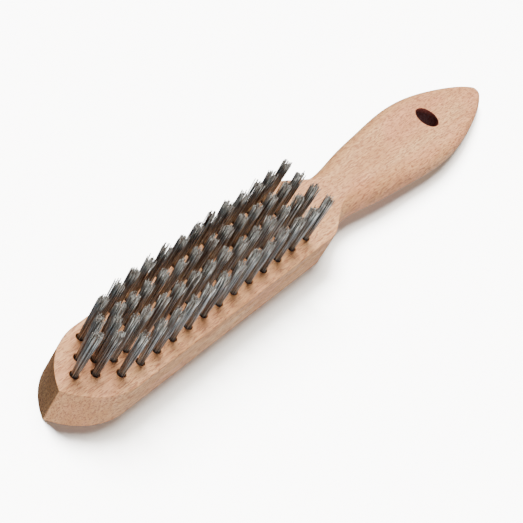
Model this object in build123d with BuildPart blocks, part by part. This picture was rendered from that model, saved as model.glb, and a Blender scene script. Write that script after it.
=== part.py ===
"""Hand wire brush: a wooden block with a pointed nose, and a handle with a hang hole.

56 tufts of steel wire stand in blind holes. Each tuft is folded in the middle and
held at the bottom of its hole by a U-shaped wire staple.

X runs from the nose to the tail, Z is up and the tufts point up. The origin is the
middle of the block's flat back. All sizes are in millimetres.
"""
import os
from math import cos, pi, sin

from build123d import *

# ---- driving dimensions -------------------------------------------------
block_length = 290.0
block_thickness = 15.0
head_width = 30.0
nose_length = 27.0          # the pointed end, from its tip to the straight walls
handle_start = 150.0        # where the straight walls end
tail_thickness = 5.5        # the top curves down to this at the tail
side_bulge = 0.45           # how far the handle's sides swell, as a share of its thickness
bulge_run = 42.0            # length over which the sides change from straight to swollen
least_bulge = 0.02          # the swelling where the handle starts, too little to see

drill_offset = 1.3          # every hole sits this far from the middle, towards +Y
hang_hole_diameter = 10.0
hang_hole_from_nose = 248.2

tuft_hole_diameter = 3.6
tuft_hole_depth = 9.0
tuft_length = 21.6          # free length above the face
tuft_root_diameter = 3.4
tuft_tip_diameter = 4.5
row_pitch = 20.0 / 3
column_pitch = 9.52
first_column = 35.4
row_count = 4
column_count = 12

staple_wire = 0.8
staple_width = 2.6          # between the middles of the two legs
staple_leg_bite = 3.5       # how deep the legs go below the hole

# Half widths of the handle, each at its distance from the nose.
handle_half_widths = (
    (handle_start, head_width / 2),
    (157.0, 13.4),
    (164.0, 11.0),
    (175.0, 9.8),
    (194.0, 12.0),
    (214.0, 13.9),
    (236.0, 15.4),
    (255.0, 14.0),
    (269.0, 10.9),
    (280.0, 7.6),
    (287.0, 4.7),
    (block_length, 3.0),
)

# ---- derived sizes ------------------------------------------------------
to_middle = -block_length / 2
hole_floor = block_thickness - tuft_hole_depth
fold_radius = tuft_root_diameter / 2
fold_height = hole_floor + fold_radius
crown_height = fold_height + staple_wire / 2
tip_height = block_thickness + tuft_length

# The nose is two arcs that meet in a point, each tangent to a straight wall.
nose_arc_radius = (nose_length**2 + (head_width / 2) ** 2) / head_width


def smooth_step(value):
    """Rise from 0 to 1 with a level start and a level end."""
    value = min(max(value, 0.0), 1.0)
    return value * value * (3 - 2 * value)


def thickness_at(from_nose):
    """The top is flat along the head, then falls in a parabola to the tail."""
    along_handle = max(from_nose - handle_start, 0.0) / (block_length - handle_start)
    return block_thickness - (block_thickness - tail_thickness) * along_handle**2


def tuft_places():
    """Name and place of each tuft, measured from the nose and from the drilled middle."""
    places = {}
    for row in range(row_count):
        side = (row - (row_count - 1) / 2) * row_pitch
        for column in range(column_count):
            name = f"wire_tuft_row_{row + 1}_no_{column + 1:02d}"
            places[name] = (first_column + column * column_pitch, side)
    nose_group = ((10.1, 0.0), (17.2, -3.9), (17.2, 3.9), (21.9, 0.0))
    nose_shoulder = ((28.0, -3.4), (28.0, 3.4), (25.3, -9.2), (25.3, 9.2))
    for number, place in enumerate(nose_group + nose_shoulder, start=1):
        places[f"wire_tuft_nose_{number:02d}"] = place
    return {name: (x + to_middle, y + drill_offset) for name, (x, y) in places.items()}


places = tuft_places()

# ---- anchor staple, standing over the origin ----------------------------
leg_bottom = hole_floor - staple_leg_bite
with BuildPart() as staple:
    with BuildLine(Plane.YZ) as staple_path:
        FilletPolyline(
            (-staple_width / 2, leg_bottom),
            (-staple_width / 2, crown_height),
            (staple_width / 2, crown_height),
            (staple_width / 2, leg_bottom),
            radius=staple_wire * 0.6,
        )
    with BuildSketch(Plane.XY.offset(leg_bottom)):
        with Locations((0, -staple_width / 2)):
            Circle(staple_wire / 2)
    sweep(path=staple_path.line)


# ---- wire tuft, standing over the origin --------------------------------
def bundle_outline(diameter, lobes=9, groove=0.86):
    """Corner points of a round bundle with a groove between its outer wires."""
    points = []
    for index in range(2 * lobes):
        radius = diameter / 2 * (1.0 if index % 2 == 0 else groove)
        angle = pi * index / lobes
        points.append((radius * cos(angle), radius * sin(angle)))
    return points


with BuildPart() as tuft:
    # The fold, round the staple's crown and between its legs.
    with BuildSketch(Plane.XZ):
        with Locations((0, fold_height)):
            Circle(fold_radius)
    extrude(amount=(staple_width - staple_wire) / 2, both=True)
    Cylinder(fold_radius, 2 * block_thickness, mode=Mode.INTERSECT)
    # The straight part inside the hole.
    with BuildSketch(Plane.XY.offset(fold_height)):
        Polygon(*bundle_outline(tuft_root_diameter))
    extrude(amount=block_thickness - fold_height)
    # The free part, which spreads towards the tips.
    with BuildSketch(Plane.XY.offset(block_thickness)):
        Polygon(*bundle_outline(tuft_root_diameter))
    with BuildSketch(Plane.XY.offset(tip_height)):
        Polygon(*bundle_outline(tuft_tip_diameter))
    loft(ruled=True)
    add(staple.part, mode=Mode.SUBTRACT)

# ---- wooden block -------------------------------------------------------
with BuildPart() as wooden_block:
    # The head, with its pointed nose.
    with BuildSketch():
        with BuildLine():
            nose_end = to_middle + nose_length
            wall_end = to_middle + handle_start
            half_head = head_width / 2
            Line((wall_end, -half_head), (wall_end, half_head))
            Line((wall_end, half_head), (nose_end, half_head))
            RadiusArc((nose_end, half_head), (to_middle, 0), -nose_arc_radius)
            RadiusArc((to_middle, 0), (nose_end, -half_head), -nose_arc_radius)
            Line((nose_end, -half_head), (wall_end, -half_head))
        make_face()
    extrude(amount=block_thickness)
    # The handle, through sections with a flat top and back and swollen sides.
    for from_nose, half_width in handle_half_widths:
        height = thickness_at(from_nose)
        swelling = side_bulge * height * smooth_step((from_nose - handle_start) / bulge_run)
        flat = half_width - swelling
        widest = flat + max(swelling, least_bulge)
        with BuildSketch(Plane.YZ.offset(to_middle + from_nose)):
            with BuildLine():
                Line((-flat, height), (flat, height))
                ThreePointArc((flat, height), (widest, height / 2), (flat, 0))
                Line((flat, 0), (-flat, 0))
                ThreePointArc((-flat, 0), (-widest, height / 2), (-flat, height))
            make_face()
    loft()
    # The hang hole.
    with Locations((to_middle + hang_hole_from_nose, drill_offset, 0)):
        Cylinder(hang_hole_diameter / 2, 3 * block_thickness, mode=Mode.SUBTRACT)
    # The blind tuft holes and the pierced seats of the staple legs.
    with Locations(*[(x, y, hole_floor) for x, y in places.values()]):
        Cylinder(
            tuft_hole_diameter / 2,
            2 * tuft_hole_depth,
            align=(Align.CENTER, Align.CENTER, Align.MIN),
            mode=Mode.SUBTRACT,
        )
    for side in (-1, 1):
        with Locations(*[(x, y + side * staple_width / 2, leg_bottom) for x, y in places.values()]):
            Cylinder(
                staple_wire / 2,
                2 * staple_leg_bite,
                align=(Align.CENTER, Align.CENTER, Align.MIN),
                mode=Mode.SUBTRACT,
            )

# ---- all the staples, as one group of separate solids --------------------
with BuildPart() as anchor_staples:
    with Locations(*[(x, y, 0) for x, y in places.values()]):
        add(staple.part)

# ---- export --------------------------------------------------------------
os.makedirs("parts", exist_ok=True)
wooden_block.part.label = "wooden_block"
export_step(wooden_block.part, "parts/wooden_block.step")
anchor_staples.part.label = "anchor_staples"
export_step(anchor_staples.part, "parts/anchor_staples.step")
for name, (x, y) in places.items():
    placed_tuft = tuft.part.moved(Location((x, y, 0)))
    placed_tuft.label = name
    export_step(placed_tuft, f"parts/{name}.step")
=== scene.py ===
"""Looks for the wire brush: beech block, drawn steel wire tufts, studio floor and light.

Lengths are in metres. X runs from the nose to the tail and Z points up.
"""

import math
import random

import bpy
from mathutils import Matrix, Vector


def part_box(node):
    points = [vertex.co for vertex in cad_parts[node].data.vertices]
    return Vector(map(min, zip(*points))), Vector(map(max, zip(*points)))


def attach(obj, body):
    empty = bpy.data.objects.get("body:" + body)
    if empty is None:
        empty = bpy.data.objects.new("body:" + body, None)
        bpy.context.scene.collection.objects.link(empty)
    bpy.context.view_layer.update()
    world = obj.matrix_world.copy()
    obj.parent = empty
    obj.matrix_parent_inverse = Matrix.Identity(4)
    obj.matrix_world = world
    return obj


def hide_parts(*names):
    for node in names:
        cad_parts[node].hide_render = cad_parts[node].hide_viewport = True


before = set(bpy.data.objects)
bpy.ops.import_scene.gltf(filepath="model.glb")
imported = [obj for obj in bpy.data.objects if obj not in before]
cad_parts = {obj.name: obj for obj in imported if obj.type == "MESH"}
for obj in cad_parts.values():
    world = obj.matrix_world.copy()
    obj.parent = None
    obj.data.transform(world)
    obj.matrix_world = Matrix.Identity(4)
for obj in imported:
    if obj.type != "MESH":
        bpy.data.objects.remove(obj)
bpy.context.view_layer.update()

# ---- wires ---------------------------------------------------------------
WIRE_RADIUS = 0.00017
WIRE_SIDES = 6
WIRES_PER_TUFT = 36
SUNK_LENGTH = 0.0055        # the wires start this far below the wood's face
ROOT_RADIUS = 0.00120       # wire centres stay within this at the hole's mouth
TIP_RADIUS = 0.00180        # and within this at the tips
TUFT_SWELL = (0.92, 1.06)   # the least and the most of a tuft's own share of the tip radius
TUFT_LEAN = 0.00022
TIP_WANDER = 0.00016
WIRE_BOW = 0.00007
BOW_SHARES = (0.35, 0.7, 1.0)   # where the bowed part has its rings, from mouth to tip
TRIM_GAP = 0.0004           # the longest wires end this far below the CAD tuft's top
LENGTH_SPREAD = 0.0021
TYPICAL_LOSS = 0.45         # the spread of lost length, as a share of LENGTH_SPREAD
MOST_LOSS = 1.4             # and its limit
CUT_SLANT = 0.7             # the steepest cut, as a share of the wire's radius
STRAY_SHARE = 0.05
STRAY_LEAN = 0.0009
RNG = random.Random(20)

# ---- camera --------------------------------------------------------------
AZIMUTH = math.radians(13.819)      # 0 looks along +X, from nose to tail
ELEVATION = math.radians(40.002)
ROLL = math.radians(32.049)
DISTANCE = 1.0825
FOCAL_LENGTH = 207.17
AIM = Vector((-0.01338, -0.00195, 0.0))

# ---- light -----------------------------------------------------------------
WARM = (1.0, 0.95, 0.86)
COOL = (0.78, 0.90, 1.0)
WHITE = (1.0, 1.0, 1.0)
KEY_SOURCE = (0.38, 0.30, 1.0)              # high, from the tail and the far side
FILL_SOURCE = (-0.65, -0.75, 0.06)          # low, from the nose and the near side
FLOOR_LIGHT_SOURCE = (0.20, 0.70, 1.0)      # throws the shadow to the near side
NEAR_SIDE = (-0.47, -0.88, 0.0)
TABLE_GLOW = (0.15, 1.7)                    # light from below, far side to near side
ROOM_GLOW = (0.10, 0.30)                    # light from above, far side to near side

# ---- wood ------------------------------------------------------------------
HANG_HOLE = (0.1032, 0.0013)    # the middle of the bore, seen from above
# painted shade: within this radius of the bore's middle, the wood is coloured dark red for the shade
# and interreflection inside the hang hole
PAINTED_SHADE_RADIUS = 0.0051
PAINTED_SHADE_FADE = 1.03               # the painted dark red shade in the bore ends at this share of its radius
EDGE_ROUNDING = 0.0007


# ---- node helpers ---------------------------------------------------------
def new_material(name):
    """An empty node material with a Principled shader. Returns it with its tree and shader."""
    material = bpy.data.materials.new(name)
    material.use_nodes = True
    tree = material.node_tree
    tree.nodes.clear()
    output = tree.nodes.new("ShaderNodeOutputMaterial")
    shader = tree.nodes.new("ShaderNodeBsdfPrincipled")
    tree.links.new(shader.outputs["BSDF"], output.inputs["Surface"])
    return material, tree, shader


def add_node(tree, kind, inputs=None, **settings):
    """A node with its settings, and each input set to a value or linked from a socket."""
    node = tree.nodes.new(kind)
    for key, value in settings.items():
        setattr(node, key, value)
    for key, value in (inputs or {}).items():
        if isinstance(value, bpy.types.NodeSocket):
            tree.links.new(value, node.inputs[key])
        else:
            node.inputs[key].default_value = value
    return node


def stretched(tree, coordinates, scale):
    """Coordinates scaled along each axis."""
    node = add_node(tree, "ShaderNodeMapping", {"Vector": coordinates, "Scale": scale})
    return node.outputs["Vector"]


def noise(tree, coordinates, scale, detail, roughness, distortion=0.0):
    """The 0 to 1 value of a noise, with its number of cells in a metre along each axis."""
    values = {
        "Vector": stretched(tree, coordinates, scale),
        "Scale": 1.0,
        "Detail": detail,
        "Roughness": roughness,
        "Distortion": distortion,
    }
    return add_node(tree, "ShaderNodeTexNoise", values).outputs["Fac"]


def ramp(tree, value, *stops):
    """A colour ramp with (position, colour) stops."""
    node = add_node(tree, "ShaderNodeValToRGB", {"Fac": value})
    elements = node.color_ramp.elements
    while len(elements) < len(stops):
        elements.new(0.5)
    for element, (position, colour) in zip(elements, stops):
        element.position = position
        element.color = (*colour, 1.0)
    return node.outputs["Color"]


def grey(tree, value, low, high, low_out=0.0, high_out=1.0):
    """Maps low..high onto low_out..high_out, clamped."""
    values = {
        "Value": value,
        "From Min": low,
        "From Max": high,
        "To Min": low_out,
        "To Max": high_out,
    }
    return add_node(tree, "ShaderNodeMapRange", values, clamp=True).outputs["Result"]


def mixed(tree, factor, first, second):
    """The colour of one socket, mixed with a plain colour by a factor socket."""
    node = add_node(tree, "ShaderNodeMix", data_type="RGBA", blend_type="MIX")
    tree.links.new(factor, node.inputs[0])
    tree.links.new(first, node.inputs[6])
    node.inputs[7].default_value = (*second, 1.0)
    return node.outputs[2]


def linear(red, green, blue):
    """A colour given in 0 to 255 screen values, as linear light."""
    def channel(value):
        value /= 255
        return value / 12.92 if value <= 0.04045 else ((value + 0.055) / 1.055) ** 2.4
    return (channel(red), channel(green), channel(blue))


# ---- beech ----------------------------------------------------------------
def painted_bore_shade(tree, place):
    """1 on the wall of the hang hole, where dark red shade and interreflection are painted into the
    wood's colour, and 0 elsewhere.
    """
    shift = (-HANG_HOLE[0], -HANG_HOLE[1], 0)
    centred = add_node(tree, "ShaderNodeMapping", {"Vector": place, "Location": shift})
    flat = add_node(
        tree, "ShaderNodeVectorMath",
        {0: centred.outputs["Vector"], 1: (1, 1, 0)}, operation="MULTIPLY",
    )
    reach = add_node(tree, "ShaderNodeVectorMath", {0: flat.outputs["Vector"]}, operation="LENGTH")
    return grey(tree, reach.outputs["Value"], PAINTED_SHADE_RADIUS, PAINTED_SHADE_RADIUS * PAINTED_SHADE_FADE, 0.92, 0.0)


def beech():
    """Pale pink-brown beech: soft long bands, fine streaks, and short dark pore flecks along X."""
    material, tree, shader = new_material("beech")
    place = add_node(tree, "ShaderNodeTexCoord").outputs["Object"]

    bands = noise(tree, place, (9, 75, 60), 3.0, 0.55, 0.6)
    patches = noise(tree, place, (22, 60, 60), 2.0, 0.5)
    streaks = noise(tree, place, (60, 900, 260), 4.0, 0.6, 0.2)
    fine = noise(tree, place, (300, 2300, 1300), 3.0, 0.6)
    flecks = noise(tree, place, (400, 2600, 1300), 1.0, 0.4)

    base = ramp(
        tree, bands,
        (0.34, linear(182, 130, 84)),
        (0.50, linear(196, 147, 100)),
        (0.66, linear(206, 162, 116)),
    )
    pink_share = grey(tree, patches, 0.48, 0.66, 0.0, 0.65)
    pink = mixed(tree, pink_share, base, linear(198, 128, 96))
    streak_share = grey(tree, streaks, 0.44, 0.60, 0.0, 0.6)
    streaked = mixed(tree, streak_share, pink, linear(170, 118, 78))
    fine_share = grey(tree, fine, 0.44, 0.62, 0.0, 0.75)
    toned = mixed(tree, fine_share, streaked, linear(156, 106, 72))
    fleck_share = grey(tree, flecks, 0.55, 0.62, 0.0, 0.75)
    flecked = mixed(tree, fleck_share, toned, linear(134, 84, 56))
    # painted shade: the bore's wall gets a dark red colour that stands for the shade and
    # interreflection inside the hole
    coloured = mixed(tree, painted_bore_shade(tree, place), flecked, linear(92, 26, 26))
    tree.links.new(coloured, shader.inputs["Base Color"])

    rough = grey(tree, streaks, 0.35, 0.65, 0.48, 0.72)
    tree.links.new(rough, shader.inputs["Roughness"])
    shader.inputs["Specular IOR Level"].default_value = 0.35

    soft_edges = add_node(tree, "ShaderNodeBevel", {"Radius": EDGE_ROUNDING}, samples=4)
    relief = add_node(tree, "ShaderNodeMath", {0: fine, 1: fleck_share}, operation="SUBTRACT")
    bump = add_node(
        tree, "ShaderNodeBump",
        {
            "Height": relief.outputs["Value"],
            "Strength": 0.55,
            "Distance": 0.00015,
            "Normal": soft_edges.outputs["Normal"],
        },
    )
    tree.links.new(bump.outputs["Normal"], shader.inputs["Normal"])
    return material


# ---- steel wire -------------------------------------------------------------
def wire_steel(name, dark, light, wires_in_a_metre):
    """Drawn wire: each wire has its own tone from dark to light, with faint drawing marks."""
    material, tree, shader = new_material(name)
    place = add_node(tree, "ShaderNodeTexCoord").outputs["Object"]
    own_tone = noise(tree, place, (wires_in_a_metre, wires_in_a_metre, 12), 2.0, 0.6)
    marks = noise(tree, place, (6000, 6000, 500), 2.0, 0.6)
    middle = tuple((low + high) / 2 for low, high in zip(dark, light))
    tint = ramp(tree, own_tone, (0.38, dark), (0.52, middle), (0.64, light))
    worn = mixed(tree, grey(tree, marks, 0.45, 0.7, 0.0, 0.5), tint, dark)
    tree.links.new(worn, shader.inputs["Base Color"])
    shader.inputs["Metallic"].default_value = 1.0
    tree.links.new(grey(tree, marks, 0.3, 0.7, 0.34, 0.56), shader.inputs["Roughness"])
    bump = add_node(
        tree, "ShaderNodeBump",
        {"Height": marks, "Strength": 0.2, "Distance": 0.00002},
    )
    tree.links.new(bump.outputs["Normal"], shader.inputs["Normal"])
    return material


beech_material = beech()
bristle_material = wire_steel("bristle_wire", linear(96, 84, 77), linear(186, 190, 190), 2600)
staple_material = wire_steel("staple_wire", linear(110, 108, 106), linear(190, 190, 190), 900)


def paint(node, material):
    """Gives a carried-over CAD node its material."""
    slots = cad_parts[node].material_slots
    for material_slot in slots:
        material_slot.material = material
    if not slots:
        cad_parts[node].data.materials.append(material)


paint("wooden_block", beech_material)
paint("anchor_staples", staple_material)


# ---- tufts --------------------------------------------------------------
def packed_disc(count, radius):
    """Points spread evenly over a disc, in a sunflower pattern turned by chance."""
    golden_angle = math.pi * (3 - math.sqrt(5))
    points = []
    turn = RNG.uniform(0, 2 * math.pi)
    for index in range(count):
        reach = radius * math.sqrt((index + 0.5) / count)
        angle = turn + index * golden_angle
        points.append((reach * math.cos(angle), reach * math.sin(angle)))
    return points


def add_wire(vertices, faces, centres, radius):
    """A closed tube through the given centres, with a slanting cut at its tip."""
    first = len(vertices)
    slant = RNG.uniform(-CUT_SLANT, CUT_SLANT) * radius
    slant_turn = RNG.uniform(0, 2 * math.pi)
    for ring, centre in enumerate(centres):
        for side in range(WIRE_SIDES):
            angle = 2 * math.pi * side / WIRE_SIDES
            offset = Vector((radius * math.cos(angle), radius * math.sin(angle), 0))
            if ring == len(centres) - 1:
                offset.z = slant * math.cos(angle - slant_turn)
            vertices.append(centre + offset)
    for ring in range(len(centres) - 1):
        for side in range(WIRE_SIDES):
            following = (side + 1) % WIRE_SIDES
            low = first + ring * WIRE_SIDES
            high = low + WIRE_SIDES
            faces.append((low + side, low + following, high + following, high + side))
    faces.append(tuple(first + side for side in reversed(range(WIRE_SIDES))))
    top = first + (len(centres) - 1) * WIRE_SIDES
    faces.append(tuple(top + side for side in range(WIRE_SIDES)))


def make_tuft(node):
    """One bundle of separate wires, standing in its hole and spreading towards the tips."""
    low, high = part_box(node)
    middle = (low + high) / 2
    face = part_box("wooden_block")[1].z
    lean = Vector((RNG.gauss(0, TUFT_LEAN), RNG.gauss(0, TUFT_LEAN), 0))
    spread = TIP_RADIUS * RNG.uniform(*TUFT_SWELL)
    vertices = []
    faces = []
    for x, y in packed_disc(WIRES_PER_TUFT, 1.0):
        mouth = Vector((middle.x + x * ROOT_RADIUS, middle.y + y * ROOT_RADIUS, face))
        root = mouth - Vector((0, 0, SUNK_LENGTH))
        tip = Vector((middle.x + x * spread, middle.y + y * spread, 0)) + lean
        wander = STRAY_LEAN if RNG.random() < STRAY_SHARE else TIP_WANDER
        tip += Vector((RNG.gauss(0, wander), RNG.gauss(0, wander), 0))
        loss = min(abs(RNG.gauss(0, TYPICAL_LOSS)), MOST_LOSS)
        tip.z = high.z - TRIM_GAP - loss * LENGTH_SPREAD
        bow = Vector((RNG.gauss(0, WIRE_BOW), RNG.gauss(0, WIRE_BOW), 0))
        centres = [root, mouth]
        for share in BOW_SHARES:
            centre = mouth.lerp(tip, share) + bow * math.sin(math.pi * share)
            centre.x = min(max(centre.x, low.x + WIRE_RADIUS), high.x - WIRE_RADIUS)
            centre.y = min(max(centre.y, low.y + WIRE_RADIUS), high.y - WIRE_RADIUS)
            centres.append(centre)
        add_wire(vertices, faces, centres, WIRE_RADIUS)
    mesh = bpy.data.meshes.new(node + "_wires")
    mesh.from_pydata([tuple(v) for v in vertices], [], faces)
    mesh.polygons.foreach_set("use_smooth", [True] * len(mesh.polygons))
    mesh.materials.append(bristle_material)
    piece = bpy.data.objects.new(node + "_wires", mesh)
    bpy.context.scene.collection.objects.link(piece)
    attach(piece, "root")
    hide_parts(node)


for node_name in sorted(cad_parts):
    if node_name.startswith("wire_tuft"):
        make_tuft(node_name)


# ---- floor, light and camera -----------------------------------------------
def make_floor():
    """A wide white floor just below the block, which throws no light back on the brush."""
    reach = 3.0
    drop = 0.0001
    outline = ((-1, -1), (1, -1), (1, 1), (-1, 1))
    corners = [(x * reach, y * reach, -drop) for x, y in outline]
    mesh = bpy.data.meshes.new("floor")
    mesh.from_pydata(corners, [], [(0, 1, 2, 3)])
    floor = bpy.data.objects.new("floor", mesh)
    bpy.context.scene.collection.objects.link(floor)
    material, tree, shader = new_material("floor_white")
    shader.inputs["Base Color"].default_value = (0.93, 0.93, 0.93, 1)
    shader.inputs["Roughness"].default_value = 0.9
    shader.inputs["Specular IOR Level"].default_value = 0.0
    mesh.materials.append(material)
    floor.visible_diffuse = False
    floor.visible_glossy = False
    return floor


def make_sun(name, strength, spread, source, colour=WARM, linked=None, state="EXCLUDE"):
    """A soft distant light shining from the source direction.

    It may leave out one object, or light only that object when the state is INCLUDE.
    """
    light = bpy.data.lights.new(name, "SUN")
    light.energy = strength
    light.angle = math.radians(spread)
    light.color = colour
    holder = bpy.data.objects.new(name, light)
    holder.rotation_mode = "QUATERNION"
    holder.rotation_quaternion = Vector(source).to_track_quat("Z", "Y")
    bpy.context.scene.collection.objects.link(holder)
    if linked:
        receivers = bpy.data.collections.new(name + "_receivers")
        receivers.objects.link(linked)
        receivers.collection_objects[0].light_linking.link_state = state
        holder.light_linking.receiver_collection = receivers


def make_world():
    """A dim room above, and below it the light that a pale table throws back on the near side."""
    world = bpy.data.worlds.new("studio")
    world.use_nodes = True
    tree = world.node_tree
    direction = add_node(tree, "ShaderNodeTexCoord").outputs["Generated"]
    height = add_node(tree, "ShaderNodeSeparateXYZ", {"Vector": direction}).outputs["Z"]
    facing = add_node(
        tree, "ShaderNodeVectorMath",
        {0: direction, 1: NEAR_SIDE}, operation="DOT_PRODUCT",
    )
    side = facing.outputs["Value"]
    from_below = grey(tree, side, -0.5, 0.7, *TABLE_GLOW)
    from_above = grey(tree, side, -0.5, 0.9, *ROOM_GLOW)
    below = grey(tree, height, -0.05, 0.03, 1.0, 0.0)
    brightness = add_node(
        tree, "ShaderNodeMix",
        {0: below, 2: from_above, 3: from_below}, data_type="FLOAT",
    )
    background = tree.nodes["Background"]
    tree.links.new(brightness.outputs[0], background.inputs["Strength"])
    background.inputs["Color"].default_value = (*COOL, 1)
    bpy.context.scene.world = world


def make_camera():
    """A long lens at the photograph's angle, rolled so that the brush lies corner to corner."""
    back = Vector((
        -math.cos(AZIMUTH) * math.cos(ELEVATION),
        -math.sin(AZIMUTH) * math.cos(ELEVATION),
        math.sin(ELEVATION),
    ))
    right = (-back).cross(Vector((0, 0, 1))).normalized()
    up = right.cross(-back)
    rolled_right = right * math.cos(ROLL) + up * math.sin(ROLL)
    rolled_up = up * math.cos(ROLL) - right * math.sin(ROLL)
    data = bpy.data.cameras.new("camera")
    data.lens = FOCAL_LENGTH
    data.sensor_width = 36.0
    data.clip_start = 0.01
    data.clip_end = 20.0
    camera = bpy.data.objects.new("camera", data)
    turn = camera.matrix_world.to_3x3()
    for row in range(3):
        turn[row] = (rolled_right[row], rolled_up[row], back[row])
    camera.matrix_world = turn.to_4x4()
    camera.location = AIM + back * DISTANCE
    bpy.context.scene.collection.objects.link(camera)
    bpy.context.scene.camera = camera


floor = make_floor()
make_world()
make_sun("key", 11.5, 32, KEY_SOURCE)
make_sun("near_fill", 6.0, 30, FILL_SOURCE, linked=floor)
make_sun("floor_light", 30.0, 28, FLOOR_LIGHT_SOURCE, WHITE, linked=floor, state="INCLUDE")
make_camera()
